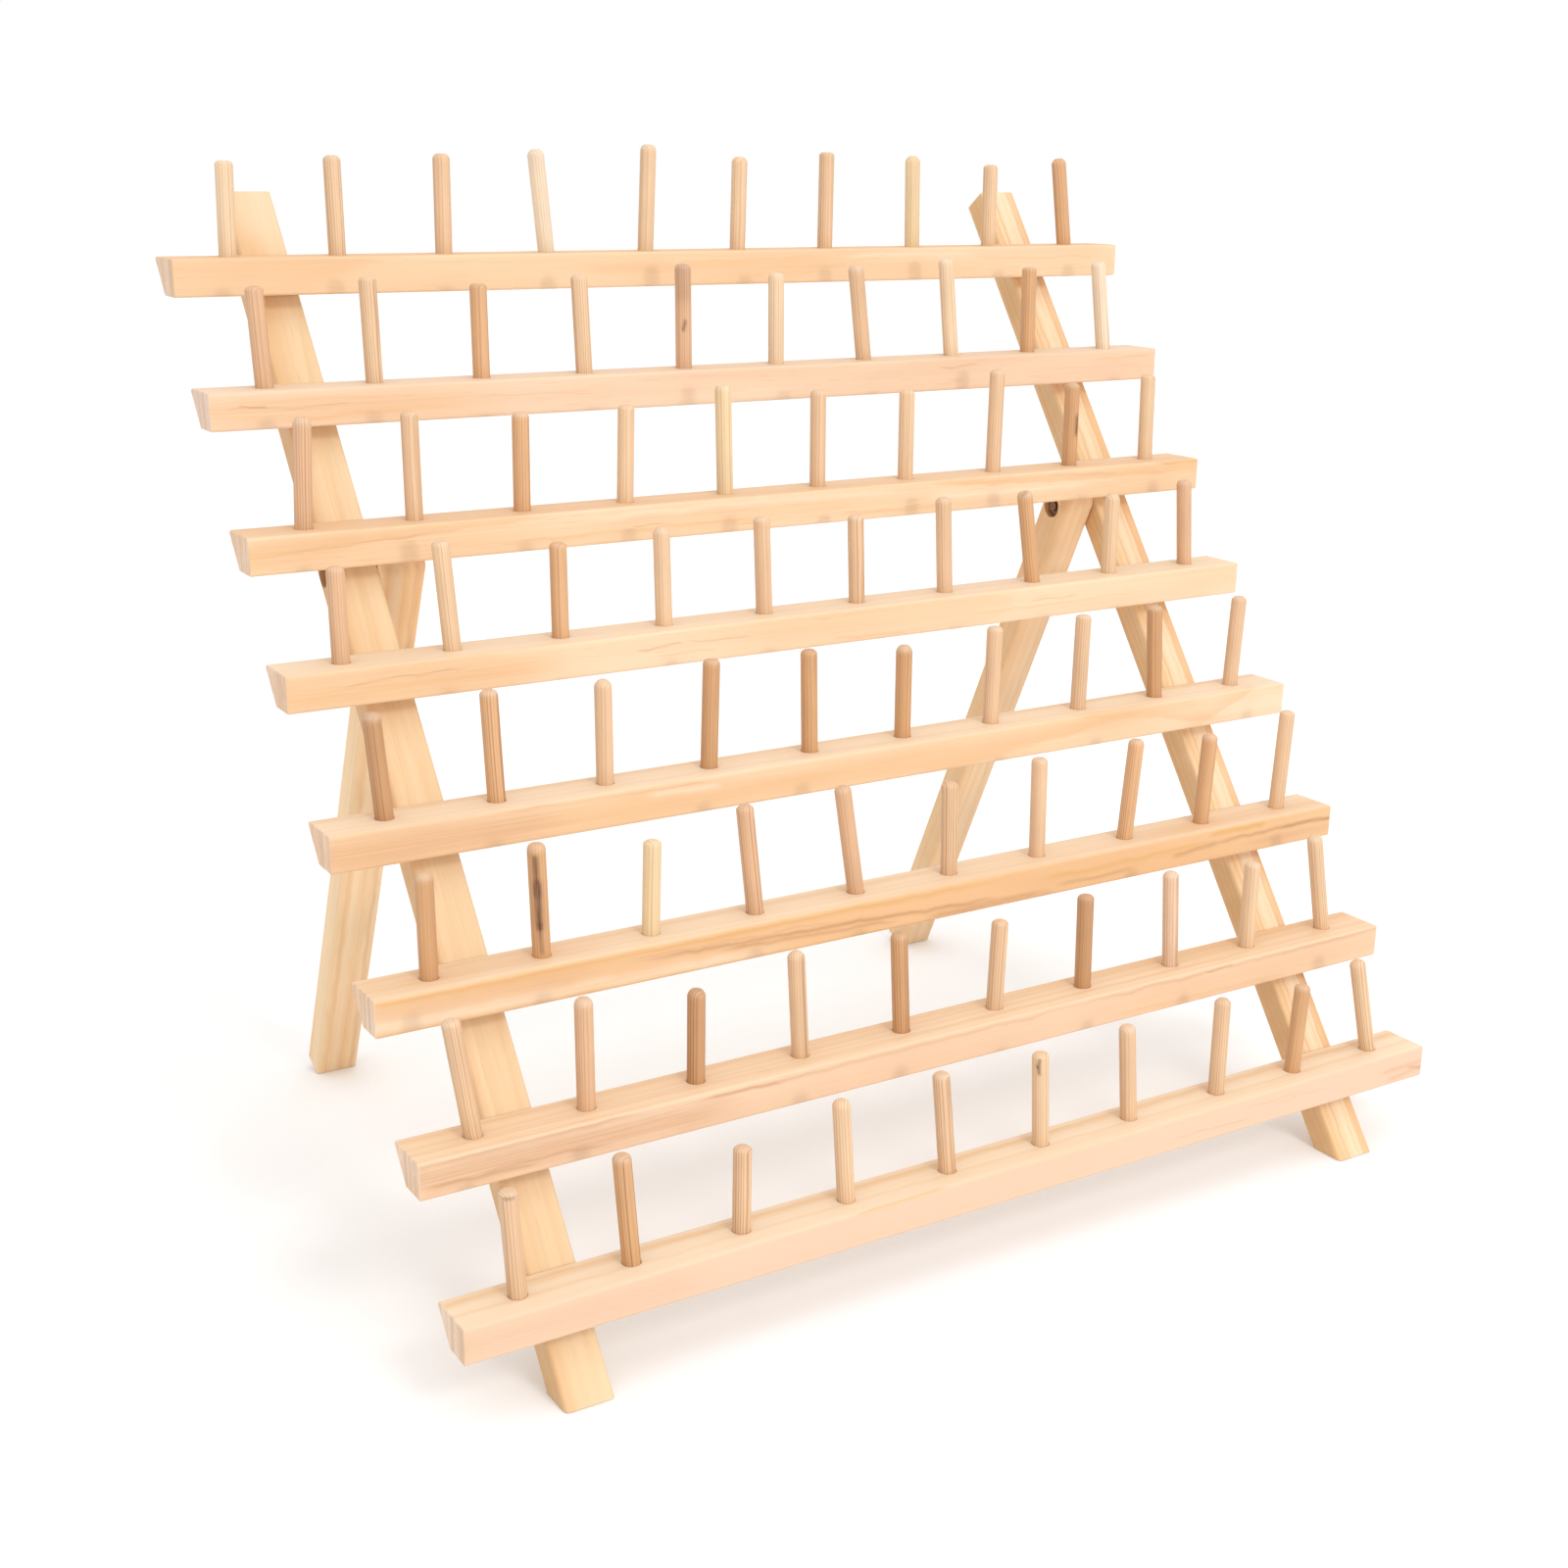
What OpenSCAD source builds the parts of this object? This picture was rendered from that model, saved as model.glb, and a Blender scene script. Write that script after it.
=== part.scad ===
// Folding thread spool rack: eight pegged rails on two leaning uprights, propped by two rear legs.
// Millimetres, +Z up, +Y to the back. The rack stands on Z = 0, centred on X = 0 and Y = 0.

/* [Pegs] */
// Pegs in each rail
pegs_per_rail = 10; // [4:1:14]
// Spacing of the pegs along a rail
peg_pitch = 40; // [30:1:60]
// From a rail's end to its first peg
peg_margin = 21; // [15:0.5:35]
// Diameter of a peg
peg_d = 6; // [4:0.5:8]
// Usual height of a peg above its rail
peg_out = 35; // [30:0.5:45]
// How far a peg's seated end is reduced all round
peg_shoulder = 0.25; // [0.2:0.05:0.5]
// Room round a seated end in its hole, filled by glue
peg_fit = 0.05; // [0.02:0.01:0.1]
// Wood left under a peg's hole
hole_floor = 4.5; // [3:0.5:6]

/* [Rails] */
// Number of rails
rail_count = 8; // [5:1:12]
// Spacing of the rails along the uprights
rail_pitch = 51.5; // [45:0.5:65]
// Height of a rail
rail_h = 12.5; // [10:0.5:16]
// Depth of a rail's level top, front to back
rail_depth = 20.5; // [17:0.5:28]
// Softening of a rail's long edges
rail_round = 1.2; // [0.5:0.1:2]

/* [Uprights] */
// Lean of the uprights, from plumb
lean = 36; // [25:0.5:42]
// Width of the sticks that make the uprights and the rear legs
stick_w = 17; // [14:0.5:24]
// Thickness of those sticks
stick_t = 12; // [11:0.5:18]
// Softening of their long edges
stick_round = 1.5; // [0.5:0.1:2.5]
// From a rail's end to an upright's outer side
upright_inset = 29.5; // [26:0.5:33]
// From the foot's front corner up to the lowest rail's top
foot_run = 45.5; // [40:0.5:70]
// From the highest rail's top up to an upright's end
top_run = 25.5; // [15:0.5:40]

/* [Rear legs] */
// Lean of the open legs, from plumb
leg_lean = 25.5; // [18:0.5:30]
// Rail that the open legs stop against, counted from the top
stop_rail = 3; // [2:1:3]
// From that rail's top down to the pivot
pivot_drop = 16.5; // [14:0.5:20]
// Room between the rails and a folded leg
fold_gap = 1; // [0.8:0.1:3]
// Room between a leg and its upright, and between a leg and its nut
side_gap = 0.2; // [0.1:0.05:0.4]
// Room left at the stop of an open leg
stop_gap = 0.2; // [0.1:0.05:0.4]

/* [Fasteners] */
// Diameter of the pivot bolts
bolt_d = 4; // [3:0.5:5]
// Diameter of a bolt's head
bolt_head_d = 7; // [6:0.5:7.5]
// Height of a bolt's head
bolt_head_h = 2.6; // [2:0.1:3.5]
// Bevel round the top of a bolt's head
bolt_crown = 0.9; // [0.5:0.1:1.5]
// Length of bolt past its nut
bolt_tail = 0.8; // [0.4:0.1:1.2]
// Width of a nut across its flats
nut_w = 7; // [6.5:0.1:7.5]
// Height of a nut
nut_h = 3.2; // [2.5:0.1:3.5]
// Depth of the recesses for heads and nuts
recess_deep = 5; // [4.8:0.1:6]
// Room round a head or a nut in its recess
recess_room = 0.5; // [0.3:0.05:0.6]
// Running room round a bolt
bolt_fit = 0.06; // [0.03:0.01:0.1]
// Diameter of the rail screws
screw_d = 3; // [2.5:0.1:3.5]
// Diameter of a screw's head
screw_head_d = 6; // [5:0.1:7]
// Length of a screw's point
screw_point = 3.6; // [2:0.1:5]
// From a rail's lower back edge up to its screw
screw_rise = 5; // [4:0.5:6]
// Wood left over a screw's point
screw_cover = 2.6; // [2:0.1:4]
// Room round a screw
screw_fit = 0.05; // [0.02:0.01:0.1]
// Width of the cross recess in a head
drive_w = 0.9; // [0.6:0.1:1.2]
// Depth of the cross recess in a head
drive_deep = 1.2; // [0.8:0.1:1.5]
// Length of the cross recess, as a share of its head
drive_share = 0.6; // [0.4:0.05:0.7]

/* [Hidden] */
$fn = 48;
// Flats in the arc of a softened edge
arc_steps = 6;

// Lean of each peg to the right in whole degrees, one line for each rail from the top
peg_lean = [
    [2, 0, 1, -5, 3, 2, 1, -1, 0, -8],
    [-2, -1, 0, -2, 0, 0, -7, -6, -1, -8],
    [3, 0, 1, 2, -1, 0, 0, 1, 0, -1],
    [0, -4, 0, -1, -2, -2, -3, -9, 0, -5],
    [-4, -2, 0, 2, -1, 0, 1, 1, -4, 3],
    [0, -1, 2, -6, -9, -1, -1, 5, 3, 3],
    [-8, 0, 1, -3, -3, 2, -1, -4, 0, -12],
    [-3, -4, 1, -4, -6, -3, -5, 0, 3, -15]
];
// How far each peg stands above or below the usual height
peg_rise = [
    [-4, -2, -1, 1, 3, -1, 1, 0, -3, 0],
    [-2, 0, -3, -0.5, 2.5, -1.5, 1, 2.5, -1.5, 0.5],
    [1, 1, -1.5, -1, 4, 0.5, -1, 4.5, -2, -0.5],
    [-3.5, 1.5, -2.5, -0.5, 0, -2.5, 1, 1, -3.5, -0.5],
    [0, 2.5, 1, 3, 2, -1, 1.5, 1.5, 1.5, 1],
    [0, 3, -2.5, 4, 5, -0.5, 2.5, 3.5, 0.5, 4.5],
    [5, 2.5, -3, 3, 1.5, -2, 0.5, 2.5, -1, 5],
    [1, 3, -5, 2, 2.5, 0, 2, 2.5, -0.5, 5]
];
// How far each peg of a rail stands to the right of its even place
peg_slip = [1, -0.5, -1, -1, 0, 0, 0, 2, 0.5, 0.5];
// How far each rail, from the top, sits above its even place on the uprights
rail_slip = [0, 1, 0, 3, 0, -2.5, -2.5, -1.5];
function entry(table, count) = table[(count - 1) % len(table)];
function peg_value(table, row, peg) = entry(entry(table, row), peg);

// Rails
rail_len = 2 * peg_margin + (pegs_per_rail - 1) * peg_pitch;
rail_back = rail_h / cos(lean);
peg_seat = rail_h - hole_floor;
seat_d = peg_d - 2 * peg_shoulder;
function peg_x(peg) = peg_margin + (peg - 1) * peg_pitch - rail_len / 2 + entry(peg_slip, peg);

// A point in the side view: run up the uprights' front faces, then set behind them
function side_point(run, behind) =
    [run * sin(lean) + behind * cos(lean), run * cos(lean) - behind * sin(lean)];
function rail_run(row) = foot_run + (rail_count - row) * rail_pitch + entry(rail_slip, row);
upright_len = rail_run(1) + top_run;
upright_out = rail_len / 2 - upright_inset;
upright_in = upright_out - stick_w;
leg_out = upright_in - side_gap;
leg_in = leg_out - stick_w;

// Pivot, and a leg's length from it to its foot
pivot_behind = stick_t / 2 + fold_gap;
pivot = side_point(rail_run(stop_rail) - pivot_drop, pivot_behind);
leg_len = (pivot[1] - stick_t / 2 * sin(leg_lean)) / cos(leg_lean);

// A leg's heel, seen from the side: it seats on the stop rail's back
open_angle = lean + leg_lean;
stop_dist = pivot_behind - stop_gap;
heel_tip = (stop_dist + stick_t / 2 * cos(open_angle)) / sin(open_angle);
toe_angle = 180 - open_angle;
heel_toe = stop_dist * [cos(toe_angle), sin(toe_angle)];
round_angle = toe_angle + acos(stick_t / 2 / stop_dist);
heel_round = stick_t / 2 * [cos(round_angle), sin(round_angle)];

// The rack's middle, front to back
front_y = min(0, rail_run(rail_count) * sin(lean) - rail_depth);
leg_back_y = pivot[0] + leg_len * sin(leg_lean) + stick_t / 2 * cos(leg_lean);
back_y = max(leg_back_y, side_point(upright_len, stick_t)[0]);
mid_y = (front_y + back_y) / 2;

// Pivot hardware
head_recess_d = bolt_head_d + 2 * recess_room;
nut_recess_d = nut_w / cos(30) + 2 * recess_room;
bolt_grip = 2 * (stick_w - recess_deep + side_gap);
bolt_seat = upright_out - recess_deep;

// Rail screws: a point stays covered at the rail's top and at its front
bite_to_top = (rail_h - screw_cover - screw_rise * cos(lean)) / sin(lean);
bite_to_front =
    (rail_depth - screw_cover - rail_h * tan(lean) + screw_rise * sin(lean)) / cos(lean);
screw_len = stick_t + min(bite_to_top, bite_to_front);
screw_head_h = (screw_head_d - screw_d) / 2;
screw_x = upright_in + stick_w / 2;

SIDES = ["left", "right"];

// A convex outline with its corners rounded: each corner becomes an arc between its two tangent points
module rounded(points, radius) {
    count = len(points);
    function way(from, to) = (points[to % count] - points[from % count])
        / norm(points[to % count] - points[from % count]);
    function arc(corner, behind, ahead) =
        let (
            half = acos(behind * ahead) / 2,
            sweep = 180 - 2 * half,
            centre = corner + (behind + ahead) / norm(behind + ahead) * radius / sin(half),
            first = corner + behind * radius / tan(half) - centre,
            last = corner + ahead * radius / tan(half) - centre
        )
        [for (step = [0:arc_steps])
            centre + (first * sin(sweep * (1 - step / arc_steps)) + last * sin(sweep * step / arc_steps))
                / sin(sweep)];
    polygon([for (i = [0:count - 1]) each arc(points[i], way(i, i + count - 1), way(i, i + 1))]);
}

// Places: on the uprights' front plane, at the pivot along an open leg, and mirrored for the left side
module on_uprights() {
    translate([0, -mid_y, 0])
        rotate([-lean, 0, 0])
            children();
}

module on_leg() {
    translate([0, pivot[0] - mid_y, pivot[1]])
        rotate([leg_lean, 0, 0])
            children();
}

module on_side(side) {
    mirror([side == "left" ? 1 : 0, 0, 0])
        children();
}

// A side view drawn in Y and Z, given a length along X
module across(length) {
    rotate([90, 0, 90])
        linear_extrude(length)
            children();
}

module at_peg(row, peg) {
    place = side_point(rail_run(row), 0);
    translate([peg_x(peg), place[0] - mid_y - rail_depth / 2, place[1]])
        rotate([0, peg_value(peg_lean, row, peg), 0])
            translate([0, 0, -peg_seat])
                children();
}

module at_screw(row) {
    translate([screw_x, stick_t, rail_run(row) - rail_back + screw_rise])
        rotate([90, 0, 0])
            children();
}

// A screw: shank, point and countersunk head
module screw_form(room) {
    shank_r = screw_d / 2 + room;
    cylinder(r = shank_r, h = screw_len - screw_point);
    translate([0, 0, screw_len - screw_point])
        cylinder(r1 = shank_r, r2 = room, h = screw_point);
    cylinder(r1 = screw_head_d / 2 + room, r2 = shank_r, h = screw_head_h);
}

// The hole that a screw sits in, open past the upright's back
module screw_hole() {
    screw_form(screw_fit);
    translate([0, 0, -stick_t])
        cylinder(d = screw_head_d + 2 * screw_fit, h = stick_t);
}

module cross_recess(head_d) {
    for (turn = [0, 90])
        rotate([0, 0, turn])
            translate([-head_d * drive_share / 2, -drive_w / 2, 0])
                cube([head_d * drive_share, drive_w, drive_deep]);
}

module rail(row) {
    place = side_point(rail_run(row), 0);
    color("#f6d6b0")
        difference() {
            translate([-rail_len / 2, place[0] - mid_y, place[1]])
                across(rail_len)
                    rounded([[0, 0], [-rail_depth, 0], [-rail_depth, -rail_h],
                             [-rail_h * tan(lean), -rail_h]], rail_round);
            for (peg = [1:pegs_per_rail])
                at_peg(row, peg)
                    cylinder(d = seat_d + 2 * peg_fit, h = peg_seat + peg_d);
            for (side = SIDES)
                on_side(side)
                    on_uprights()
                        at_screw(row)
                            screw_hole();
        }
}

module peg_row(row) {
    color("#dcae82")
        for (peg = [1:pegs_per_rail])
            at_peg(row, peg)
                peg_stick(peg_out + peg_value(peg_rise, row, peg),
                          peg_d / 2 * tan(abs(peg_value(peg_lean, row, peg))));
}

// A dowel with a domed tip and a seated end: its shoulder is lifted to clear the rail where it leans
module peg_stick(height, lift) {
    dome_start = peg_seat + height - peg_d / 2;
    rotate_extrude()
        intersection() {
            union() {
                square([seat_d / 2, dome_start]);
                translate([0, peg_seat + lift])
                    square([peg_d / 2, dome_start - peg_seat - lift]);
                translate([0, dome_start])
                    circle(d = peg_d);
            }
            square([peg_d, peg_seat + height]);
        }
}

module upright(side) {
    foot_over = stick_t * tan(lean);
    color("#fadcac")
        on_side(side)
            difference() {
                on_uprights()
                    translate([upright_in, 0, -foot_over])
                        linear_extrude(upright_len + foot_over)
                            rounded([[0, 0], [stick_w, 0], [stick_w, stick_t], [0, stick_t]],
                                    stick_round);
                translate([upright_in - stick_w, -mid_y - 2 * stick_t, -2 * stick_t])
                    cube([3 * stick_w, 6 * stick_t, 2 * stick_t]);
                on_uprights()
                    for (row = [1:rail_count])
                        at_screw(row)
                            screw_hole();
                translate([upright_in - stick_w, pivot[0] - mid_y, pivot[1]])
                    rotate([0, 90, 0])
                        cylinder(d = bolt_d + 2 * bolt_fit, h = 3 * stick_w);
                translate([bolt_seat, pivot[0] - mid_y, pivot[1]])
                    rotate([0, 90, 0])
                        cylinder(d = head_recess_d, h = stick_w);
            }
}

module rear_leg(side) {
    half = stick_t / 2;
    color("#f4cf9c")
        on_side(side)
            difference() {
                on_leg()
                    intersection() {
                        translate([leg_in, 0, 0])
                            across(stick_w) {
                                translate([-half, -leg_len])
                                    square([stick_t, leg_len]);
                                circle(r = half);
                                polygon([[0, 0], [half, 0], [half, heel_tip], heel_toe, heel_round]);
                            }
                        translate([leg_in, -half, -leg_len])
                            linear_extrude(leg_len + heel_tip)
                                rounded([[0, 0], [stick_w, 0], [stick_w, stick_t], [0, stick_t]],
                                        stick_round);
                    }
                translate([leg_in - stick_w, pivot[0] - mid_y, pivot[1]])
                    rotate([0, 90, 0])
                        cylinder(d = bolt_d + 2 * bolt_fit, h = 3 * stick_w);
                translate([leg_in - stick_w, pivot[0] - mid_y, pivot[1]])
                    rotate([0, 90, 0])
                        cylinder(d = nut_recess_d, h = stick_w + recess_deep);
            }
}

module pivot_bolt(side) {
    color("silver")
        on_side(side)
            translate([bolt_seat, pivot[0] - mid_y, pivot[1]])
                rotate([0, 90, 0])
                    difference() {
                        union() {
                            translate([0, 0, -bolt_grip - nut_h - bolt_tail])
                                cylinder(d = bolt_d, h = bolt_grip + nut_h + bolt_tail);
                            cylinder(d = bolt_head_d, h = bolt_head_h - bolt_crown);
                            translate([0, 0, bolt_head_h - bolt_crown])
                                cylinder(d1 = bolt_head_d, d2 = bolt_head_d - 2 * bolt_crown,
                                         h = bolt_crown);
                        }
                        translate([0, 0, bolt_head_h - drive_deep])
                            cross_recess(bolt_head_d);
                    }
}

module pivot_nut(side) {
    color("silver")
        on_side(side)
            translate([bolt_seat - bolt_grip - nut_h, pivot[0] - mid_y, pivot[1]])
                rotate([0, 90, 0])
                    difference() {
                        cylinder(d = nut_w / cos(30), h = nut_h, $fn = 6);
                        translate([0, 0, -nut_h])
                            cylinder(d = bolt_d + 2 * bolt_fit, h = 3 * nut_h);
                    }
}

module rail_screws(side) {
    color("silver")
        on_side(side)
            on_uprights()
                for (row = [1:rail_count])
                    at_screw(row)
                        difference() {
                            screw_form(0);
                            cross_recess(screw_head_d);
                        }
}

for (row = [1:rail_count]) {
    rail(row);
    peg_row(row);
}
for (side = SIDES) {
    upright(side);
    rail_screws(side);
    pivot_bolt(side);
    pivot_nut(side);
    rear_leg(side);
}
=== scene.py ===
import math

import bmesh
import bpy
import numpy as np
from mathutils import Matrix, Vector


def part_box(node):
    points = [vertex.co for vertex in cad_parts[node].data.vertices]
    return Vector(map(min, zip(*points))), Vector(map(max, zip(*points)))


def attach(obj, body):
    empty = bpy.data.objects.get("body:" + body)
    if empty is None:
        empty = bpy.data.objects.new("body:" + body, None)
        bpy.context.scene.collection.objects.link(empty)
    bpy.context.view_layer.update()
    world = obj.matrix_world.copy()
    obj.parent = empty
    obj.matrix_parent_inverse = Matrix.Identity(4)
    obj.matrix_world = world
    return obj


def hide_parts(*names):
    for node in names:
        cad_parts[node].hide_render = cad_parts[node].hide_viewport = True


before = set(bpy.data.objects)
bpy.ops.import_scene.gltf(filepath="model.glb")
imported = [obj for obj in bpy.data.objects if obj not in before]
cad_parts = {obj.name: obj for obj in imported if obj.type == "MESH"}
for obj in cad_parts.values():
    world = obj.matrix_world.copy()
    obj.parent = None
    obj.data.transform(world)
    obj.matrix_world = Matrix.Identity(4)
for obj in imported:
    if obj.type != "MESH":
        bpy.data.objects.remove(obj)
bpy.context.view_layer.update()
mm = 0.001
scene = bpy.context.scene
print("frame loaded:", len(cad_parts), "nodes")


# Camera: stands front left of the rack, about as high as the top row's tips
cameraView = {
    "place": (-0.39530, -0.64193, 0.36289),
    "turn": 32.29,
    "dip": 18.78,
    "roll": 0.67,
    "lens": 47.5,
    "sensor": 36,
    "shift": (-0.0268, 0.0485),
}


def placeCamera(view):
    turn, dip, roll = (math.radians(view[key]) for key in ("turn", "dip", "roll"))
    ahead = Vector((math.sin(turn) * math.cos(dip), math.cos(turn) * math.cos(dip), -math.sin(dip)))
    level = Vector((math.cos(turn), -math.sin(turn), 0))
    above = level.cross(ahead)
    right = level * math.cos(roll) + above * math.sin(roll)
    up = above * math.cos(roll) - level * math.sin(roll)
    lens = bpy.data.cameras.new("photoCamera")
    lens.sensor_width = view["sensor"]
    lens.lens = view["lens"]
    lens.shift_x, lens.shift_y = view["shift"]
    camera = bpy.data.objects.new("photoCamera", lens)
    facing = Matrix((right, up, -ahead)).transposed().to_4x4()
    camera.matrix_world = Matrix.Translation(view["place"]) @ facing
    scene.collection.objects.link(camera)
    scene.camera = camera


placeCamera(cameraView)


# Light: a bright white room, a soft lamp above the front, and a low one that throws the shadows of the pegs'
# tips on the rail behind
studio = {
    "zenith": 1.53,
    "horizon": 0.62,
    "seen": 1.0,
    "aim": (0, 0, 0.18),
    "lamps": {
        "highLamp": {"place": (0.06, -1.50, 1.30), "size": 0.45, "power": 7.6, "tint": (1.0, 0.98, 0.95)},
        "lowLamp": {"place": (0.25, -1.75, 0.50), "size": 0.26, "power": 6.0, "tint": (1.0, 0.97, 0.93)},
    },
}


def lightStudio(room):
    world = bpy.data.worlds.new("whiteRoom")
    world.use_nodes = True
    tree = world.node_tree
    skyward = parts(tree, put(tree, "TexCoord").outputs["Generated"])[2]
    glow = put(tree, "MapRange", {0: skyward, 1: 0.0, 2: 1.0, 3: room["horizon"], 4: room["zenith"]})
    direct = put(tree, "LightPath").outputs["Is Camera Ray"]
    strength = put(tree, "Mix", {0: direct, 2: glow.outputs[0], 3: room["seen"]}).outputs[0]
    feed(tree, tree.nodes["Background"].inputs["Strength"], strength)
    tree.nodes["Background"].inputs["Color"].default_value = (1, 1, 1, 1)
    scene.world = world
    scene.view_settings.view_transform = "Standard"
    for name, lamp in room["lamps"].items():
        light = bpy.data.lights.new(name, "AREA")
        light.shape = "DISK"
        light.size = lamp["size"]
        light.energy = lamp["power"]
        light.color = lamp["tint"]
        holder = bpy.data.objects.new(name, light)
        holder.location = lamp["place"]
        away = Vector(lamp["place"]) - Vector(room["aim"])
        holder.rotation_euler = away.to_track_quat("Z", "Y").to_euler()
        scene.collection.objects.link(holder)


# Node helpers: a value is either another node's socket or a plain number, vector or colour
def feed(tree, socket, value):
    if isinstance(value, bpy.types.NodeSocket):
        tree.links.new(value, socket)
    else:
        socket.default_value = value


def put(tree, kind, values=(), **settings):
    made = tree.nodes.new("ShaderNode" + kind)
    for key, value in settings.items():
        setattr(made, key, value)
    for key, value in dict(values).items():
        feed(tree, made.inputs[key], value)
    return made


def calc(tree, operation, *values):
    return put(tree, "Math", enumerate(values), operation=operation).outputs[0]


def times(tree, product, *others):
    for value in others:
        product = calc(tree, "MULTIPLY", product, value)
    return product


def vec(tree, operation, *values):
    made = put(tree, "VectorMath", enumerate(values), operation=operation)
    return made.outputs["Value" if operation in ("LENGTH", "DOT_PRODUCT") else "Vector"]


def parts(tree, value):
    return put(tree, "SeparateXYZ", {0: value}).outputs


def ease(tree, value, low, high, first=0.0, last=1.0):
    values = {0: value, 1: low, 2: high, 3: first, 4: last}
    return put(tree, "MapRange", values, interpolation_type="SMOOTHSTEP").outputs[0]


def within(tree, value, rise, full, fade, gone):
    return times(tree, ease(tree, value, rise, full), ease(tree, value, fade, gone, 1.0, 0.0))


def blend(tree, share, first, second, mode="MIX"):
    made = put(tree, "Mix", {0: share, 6: first, 7: second}, data_type="RGBA", blend_type=mode)
    return made.outputs[2]


def noise(tree, place, scale, detail=1.0, output="Fac"):
    stretched = vec(tree, "MULTIPLY", place, scale)
    return put(tree, "TexNoise", {"Vector": stretched, "Scale": 1.0, "Detail": detail}).outputs[output]


def newGroup(name, inputs, outputs):
    tree = bpy.data.node_groups.new(name, "ShaderNodeTree")
    for way, sockets in (("INPUT", inputs), ("OUTPUT", outputs)):
        for kind, labels in sockets.items():
            for label in labels.split():
                tree.interface.new_socket(label, in_out=way, socket_type="NodeSocket" + kind)
    return tree, tree.nodes.new("NodeGroupInput").outputs, tree.nodes.new("NodeGroupOutput").inputs


def useGroup(tree, group, values):
    made = tree.nodes.new("ShaderNodeGroup")
    made.node_tree = group
    for key, value in values.items():
        feed(tree, made.inputs[key], value)
    return made.outputs


def newMaterial(name):
    material = bpy.data.materials.new(name)
    material.use_nodes = True
    return material, material.node_tree, material.node_tree.nodes["Principled BSDF"]


def inMillimetres(tree):
    return vec(tree, "MULTIPLY", put(tree, "TexCoord").outputs["Object"], (1 / mm, 1 / mm, 1 / mm))


def wireShader(tree, shader, color, roughness, height, relief):
    strength, distance = relief
    feed(tree, shader.inputs["Base Color"], color)
    feed(tree, shader.inputs["Roughness"], roughness)
    bump = put(tree, "Bump", {"Height": height, "Strength": strength, "Distance": distance}).outputs[0]
    feed(tree, shader.inputs["Normal"], bump)


woodShare = 0.78


def paint(code, share=woodShare):
    # a colour as it looks under the studio light, made linear and brought down to the wood's own colour
    part = np.array([int(code[at:at + 2], 16) for at in (0, 2, 4)]) / 255
    linear = np.where(part > 0.04045, ((part + 0.055) / 1.055) ** 2.4, part / 12.92)
    return (*(linear * share), 1.0)


lightStudio(studio)
print("camera and studio light ready")


# Pine: rings round a pith line that runs nearly along the board, each ring pale first and dark at its rim,
# with long fibres, broad warm clouds and short resin flecks over them. Places are in millimetres, and X runs
# along the board.
pineLook = {
    "seedStep": (71.0, 23.0, 37.0),
    "wobble": (0.007, 0.035, 0.035),
    "fibre": (0.018, 1.7, 1.7),
    "vein": (0.009, 0.45, 0.45),
    "cloud": (0.006, 0.06, 0.06),
    "cloudEdge": (0.35, 0.65),
    "fleck": (0.09, 2.4, 2.4),
    "fleckEdge": (0.72, 0.82),
    "fleckShare": 0.45,
    "unevenScale": 0.13,
    "unevenShare": 1.8,
    "rim": (0.25, 0.86, 0.90, 1.0),
    "rimShare": (0.7, 0.3),
    "patchLift": (0.16, 0.865),
    "fibreLift": 0.11,
    "roughness": (0.14, 0.50),
    "fibreHeight": 0.7,
    "rimHeight": 0.5,
    "relief": (0.35, 0.00012),
}
middleGrey = (0.5, 0.5, 0.5)


def darkRims(tree, phase, ring, look):
    # each ring darkens to its rim, as strongly as its own number draws
    chance = put(tree, "TexWhiteNoise", {"W": ring}, noise_dimensions="1D").outputs["Value"]
    rim = within(tree, calc(tree, "FRACT", phase), *look["rim"])
    return times(tree, rim, calc(tree, "MULTIPLY_ADD", chance, *look["rimShare"]))


def lifted(tree, color, fibre, patch, look):
    # lighter and darker along the fibres and over broader patches
    patched = calc(tree, "MULTIPLY_ADD", patch, *look["patchLift"])
    lift = calc(tree, "MULTIPLY_ADD", fibre, look["fibreLift"], patched)
    grey = put(tree, "CombineColor", {0: lift, 1: lift, 2: lift}).outputs[0]
    return blend(tree, 1.0, color, grey, "MULTIPLY")


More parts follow.
